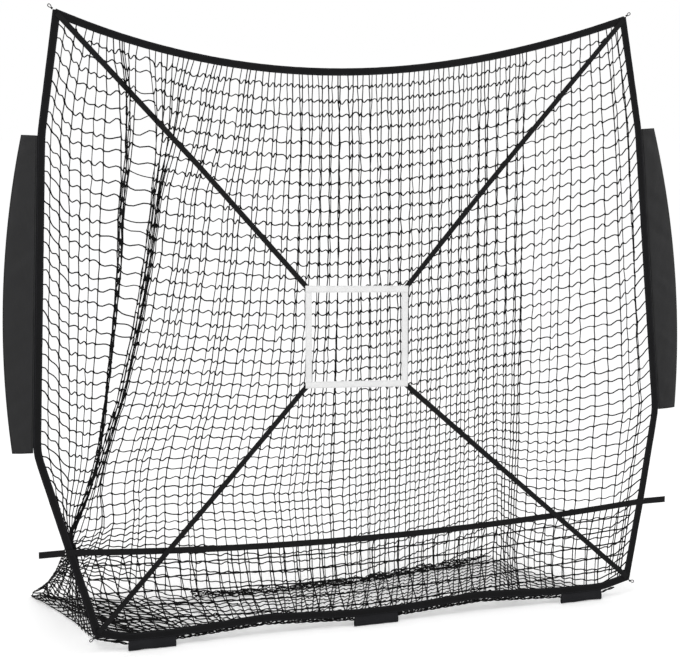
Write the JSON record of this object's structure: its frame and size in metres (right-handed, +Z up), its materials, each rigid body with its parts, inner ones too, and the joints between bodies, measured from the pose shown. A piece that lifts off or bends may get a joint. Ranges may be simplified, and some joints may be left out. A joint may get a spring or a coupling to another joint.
{
  "type": "pitching target net",
  "caption": "Hung practice net with a strapped strike zone, a ball pocket at the foot, pole sleeves at the sides and tabs below.",
  "frame": {"origin": "on the line of the base tube, at the middle base tab", "axes": "+X along the base tube to the thrower's right, +Y away from the thrower, +Z up"},
  "size_m": [2.5446, 0.8187, 2.148],
  "materials": {
    "netting": "matte knotted twine",
    "binding": "woven polyester webbing",
    "strap": "woven polypropylene webbing",
    "zone_webbing": "white woven webbing",
    "sleeve_cloth": "coated oxford cloth with a slight sheen",
    "tab_cloth": "folded oxford cloth",
    "elastic_cord": "braided elastic cord"
  },
  "bodies": {
    "net": {"back_netting": "netting", "left_side_netting": "netting", "right_side_netting": "netting", "left_lower_side_netting": "netting", "right_lower_side_netting": "netting", "floor_netting": "netting", "lower_front_netting": "netting", "top_binding": "binding", "left_binding": "binding", "right_binding": "binding", "bottom_binding": "binding", "upper_left_corner_strap": "strap", "upper_left_target_strap": "strap", "upper_right_corner_strap": "strap", "upper_right_target_strap": "strap", "lower_left_corner_strap": "strap", "lower_left_target_strap": "strap", "lower_right_corner_strap": "strap", "lower_right_target_strap": "strap", "zone_top_strip": "zone_webbing", "zone_bottom_strip": "zone_webbing", "zone_left_strip": "zone_webbing", "zone_right_strip": "zone_webbing", "cross_strap": "strap", "upper_left_loop": "elastic_cord", "upper_right_loop": "elastic_cord", "lower_left_loop": "elastic_cord", "lower_right_loop": "elastic_cord"},
    "left_sleeve": {"left_sleeve_front": "sleeve_cloth", "left_sleeve_back": "sleeve_cloth", "left_sleeve_seam": "sleeve_cloth", "left_sleeve_outer_edge": "sleeve_cloth"},
    "right_sleeve": {"right_sleeve_front": "sleeve_cloth", "right_sleeve_back": "sleeve_cloth", "right_sleeve_seam": "sleeve_cloth", "right_sleeve_outer_edge": "sleeve_cloth"},
    "left_strap_end": {"cross_strap_left_end": "strap"},
    "right_strap_end": {"cross_strap_right_end": "strap"},
    "left_tab": {"left_base_tab": "tab_cloth"},
    "middle_tab": {"middle_base_tab": "tab_cloth"},
    "right_tab": {"right_base_tab": "tab_cloth"}
  },
  "joints": [
    {"name": "left_sleeve_swing", "type": "hinge", "parent": "net", "child": "left_sleeve", "pos_m": [-1.18608, 0.104, 0.6597], "axis": [0.0497, 0.0726, 0.9961], "range_deg": [-80, 80]},
    {"name": "right_sleeve_swing", "type": "hinge", "parent": "net", "child": "right_sleeve", "pos_m": [1.18608, 0.104, 0.6597], "axis": [-0.0497, 0.0726, 0.9961], "range_deg": [-80, 80]},
    {"name": "left_strap_end_swing", "type": "hinge", "parent": "net", "child": "left_strap_end", "pos_m": [-1.09827, 0.045, 0.328], "axis": [0, 0, 1], "range_deg": [-90, 90]},
    {"name": "right_strap_end_swing", "type": "hinge", "parent": "net", "child": "right_strap_end", "pos_m": [1.09827, 0.045, 0.328], "axis": [0, 0, 1], "range_deg": [-90, 90]},
    {"name": "left_tab_swing", "type": "hinge", "parent": "net", "child": "left_tab", "pos_m": [-0.815, 0.00162, 0.017], "axis": [1, 0, 0], "range_deg": [-90, 60]},
    {"name": "middle_tab_swing", "type": "hinge", "parent": "net", "child": "middle_tab", "pos_m": [0, 0, 0.017], "axis": [1, 0, 0], "range_deg": [-90, 60]},
    {"name": "right_tab_swing", "type": "hinge", "parent": "net", "child": "right_tab", "pos_m": [0.815, 0.00162, 0.017], "axis": [1, 0, 0], "range_deg": [-90, 60]}
  ]
}
